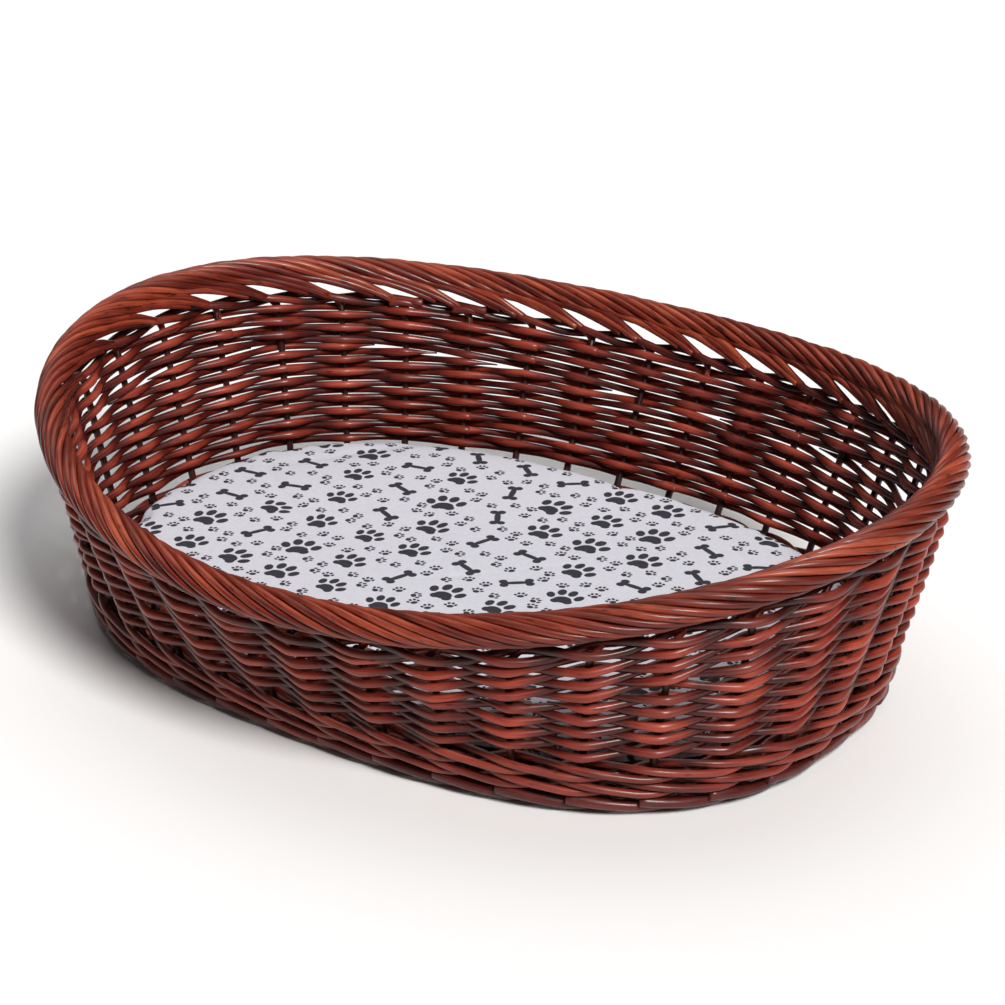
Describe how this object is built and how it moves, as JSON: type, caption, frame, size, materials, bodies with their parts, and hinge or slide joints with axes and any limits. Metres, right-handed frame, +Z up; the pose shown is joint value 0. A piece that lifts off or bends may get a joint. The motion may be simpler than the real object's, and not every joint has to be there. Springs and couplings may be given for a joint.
{
  "type": "wicker pet bed basket",
  "caption": "Oval open wicker basket with a rolled rim, high ends and back, a lower front and a loose flat cushion, for a pet to lie in.",
  "frame": {"origin": "middle of the rim oval, on the floor", "axes": "+X along the length, +Y towards the high back, -Y towards the low front, +Z up"},
  "size_m": [0.7955, 0.6256, 0.222],
  "materials": {
    "willow_siding": "stained mahogany red-brown, varnished, satin gloss",
    "willow_waling": "stained mahogany red-brown, varnished, satin gloss",
    "willow_border_rods": "stained mahogany red-brown, varnished, satin gloss",
    "willow_stakes": "stained dark, varnished, satin gloss",
    "willow_foot_rods": "stained mahogany red-brown, varnished, satin gloss",
    "willow_base_sticks": "stained brown, thinly varnished",
    "willow_base_weavers": "stained brown, thinly varnished",
    "cotton_print": "woven cotton with a dark paw and bone print, matt",
    "wadding": "white polyester wadding, matt"
  },
  "bodies": {
    "basket": {"base_long_sticks": "willow_base_sticks", "base_cross_sticks": "willow_base_sticks", "base_corner_sticks": "willow_base_sticks", "base_weave": "willow_base_weavers", "foot_border": "willow_foot_rods", "upsett_wale_lower": "willow_waling", "upsett_wale_upper": "willow_waling", "side_stakes": "willow_stakes", "siding_row_01": "willow_siding", "siding_row_02": "willow_siding", "siding_row_03": "willow_siding", "siding_row_04": "willow_siding", "siding_row_05": "willow_siding", "siding_row_06": "willow_siding", "siding_row_07": "willow_siding", "siding_row_08": "willow_siding", "siding_row_09": "willow_siding", "siding_row_10": "willow_siding", "siding_row_11": "willow_siding", "siding_row_12": "willow_siding", "short_row_01": "willow_siding", "short_row_02": "willow_siding", "short_row_03": "willow_siding", "short_row_04": "willow_siding", "short_row_05": "willow_siding", "short_row_06": "willow_siding", "short_row_07": "willow_siding", "short_row_08": "willow_siding", "short_row_09": "willow_siding", "short_row_10": "willow_siding", "top_wale": "willow_waling", "border_rods_first": "willow_border_rods", "border_rods_second": "willow_border_rods", "border_rods_third": "willow_border_rods"},
    "cushion": {"cushion_cover_bottom": "cotton_print", "cushion_filling": "wadding", "cushion_cover_top": "cotton_print"}
  },
  "joints": [
    {"name": "cushion_lift", "type": "slide", "parent": "basket", "child": "cushion", "axis": [0, 0, 1], "range_m": [0, 0.3]}
  ]
}
